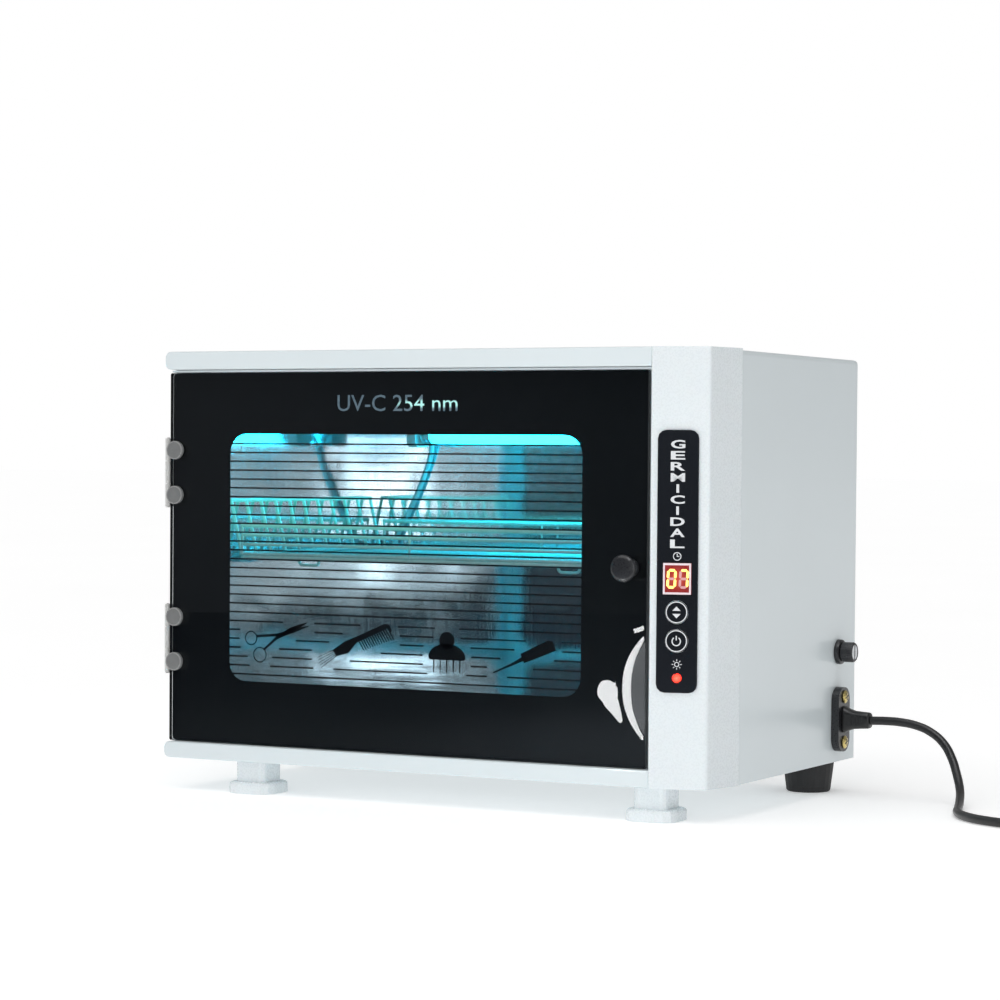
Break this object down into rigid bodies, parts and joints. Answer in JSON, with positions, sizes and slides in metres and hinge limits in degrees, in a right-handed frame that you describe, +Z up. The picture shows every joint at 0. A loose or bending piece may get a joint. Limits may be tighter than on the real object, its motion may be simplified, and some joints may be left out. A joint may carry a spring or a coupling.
{
  "type": "uv sterilizer cabinet",
  "caption": "White countertop UV sterilizer cabinet with a hinged printed-glass door, mirror chamber, germicidal tube, lift-out wire basket, control column and mains lead.",
  "frame": {"origin": "on the surface the cabinet stands on, under the middle of the cabinet's box measured without its mains lead", "axes": "+X to the right seen from the front, along the width; +Y from the door to the back; +Z up"},
  "size_m": [0.6393, 0.2348, 0.281],
  "materials": {
    "white_paint": "satin white powder coat",
    "ballast_case": "satin",
    "white_plastic": "satin gloss",
    "panel_film": "satin film",
    "display": "lit red window",
    "red_led": "clear red",
    "circuit_board": "solder mask",
    "polished_steel": "mirror polished, slightly wavy",
    "lamp_glass": "lit cyan",
    "lamp_holder": "matte",
    "lead_sleeve": "matte",
    "basket_wire": "bright chrome",
    "smoked_glass": "polished",
    "black_print": "printed black",
    "chrome": "bright nickel",
    "magnet": "matte",
    "black_plastic": "satin",
    "fuse_glass": "clear",
    "brass": "bright",
    "plug_metal": "bright",
    "black_rubber": "matte",
    "cord_jacket": "soft sheen"
  },
  "bodies": {
    "cabinet": {"case_shell": "white_paint", "base_plate": "white_paint", "rear_panel": "white_paint", "front_frame": "white_paint", "top_rail": "white_paint", "bottom_rail": "white_paint", "ballast": "ballast_case", "control_column": "white_plastic", "front_foot_left": "white_plastic", "front_foot_right": "white_plastic", "membrane_panel": "panel_film", "display_window": "display", "power_led": "red_led", "control_board": "circuit_board", "liner": "polished_steel", "reflector": "polished_steel", "basket_ledge_left": "polished_steel", "basket_ledge_right": "polished_steel", "uv_lamp": "lamp_glass", "lamp_holder_left": "lamp_holder", "lamp_holder_right": "lamp_holder", "lamp_lead": "lead_sleeve", "hinge_leaf_case_upper": "chrome", "hinge_leaf_case_lower": "chrome", "hinge_pin_upper": "chrome", "hinge_pin_lower": "chrome", "magnet_catch": "magnet", "fuse_holder": "black_plastic", "inlet_socket": "black_plastic", "inlet_pin_upper": "brass", "inlet_pin_lower": "brass", "inlet_screw_upper": "brass", "inlet_screw_lower": "brass", "plug_pin_left": "plug_metal", "plug_pin_right": "plug_metal", "rear_foot_left": "black_rubber", "rear_foot_right": "black_rubber", "cord_connector": "cord_jacket", "power_cord": "cord_jacket", "cord_coil": "cord_jacket", "mains_plug": "cord_jacket"},
    "door": {"door_glass": "smoked_glass", "door_mask": "black_print", "hinge_leaf_door_upper": "chrome", "hinge_leaf_door_lower": "chrome", "clamp_cap_upper_top": "chrome", "clamp_cap_upper_bottom": "chrome", "clamp_cap_lower_top": "chrome", "clamp_cap_lower_bottom": "chrome", "door_knob": "black_plastic", "strike_plate": "chrome"},
    "basket": {"basket_bottom": "basket_wire", "basket_front": "basket_wire", "basket_rear": "basket_wire", "basket_left": "basket_wire", "basket_right": "basket_wire"},
    "select_button": {"select_button": "panel_film"},
    "power_button": {"power_button": "panel_film"},
    "fuse": {"fuse_cartridge": "fuse_glass"},
    "fuse_cap": {"fuse_cap": "black_plastic"}
  },
  "joints": [
    {"name": "door_hinge", "type": "hinge", "parent": "cabinet", "child": "door", "pos_m": [-0.2005, -0.099, 0.149], "axis": [0, 0, -1], "range_deg": [0, 105]},
    {"name": "basket_lift", "type": "slide", "parent": "cabinet", "child": "basket", "axis": [0, 0, 1], "range_m": [0, 0.025]},
    {"name": "select_press", "type": "slide", "parent": "cabinet", "child": "select_button", "axis": [-0.2585, 0.966, 0], "range_m": [0, 0.0006], "stiffness_N_per_m": 400},
    {"name": "power_press", "type": "slide", "parent": "cabinet", "child": "power_button", "axis": [-0.2585, 0.966, 0], "range_m": [0, 0.0006], "stiffness_N_per_m": 400},
    {"name": "fuse_pull", "type": "slide", "parent": "cabinet", "child": "fuse", "axis": [1, 0, 0], "range_m": [0, 0.03]},
    {"name": "fuse_cap_turn", "type": "hinge", "parent": "fuse", "child": "fuse_cap", "pos_m": [0.1939, 0.0882, 0.0915], "axis": [1, 0, 0], "range_deg": [0, 90]}
  ]
}
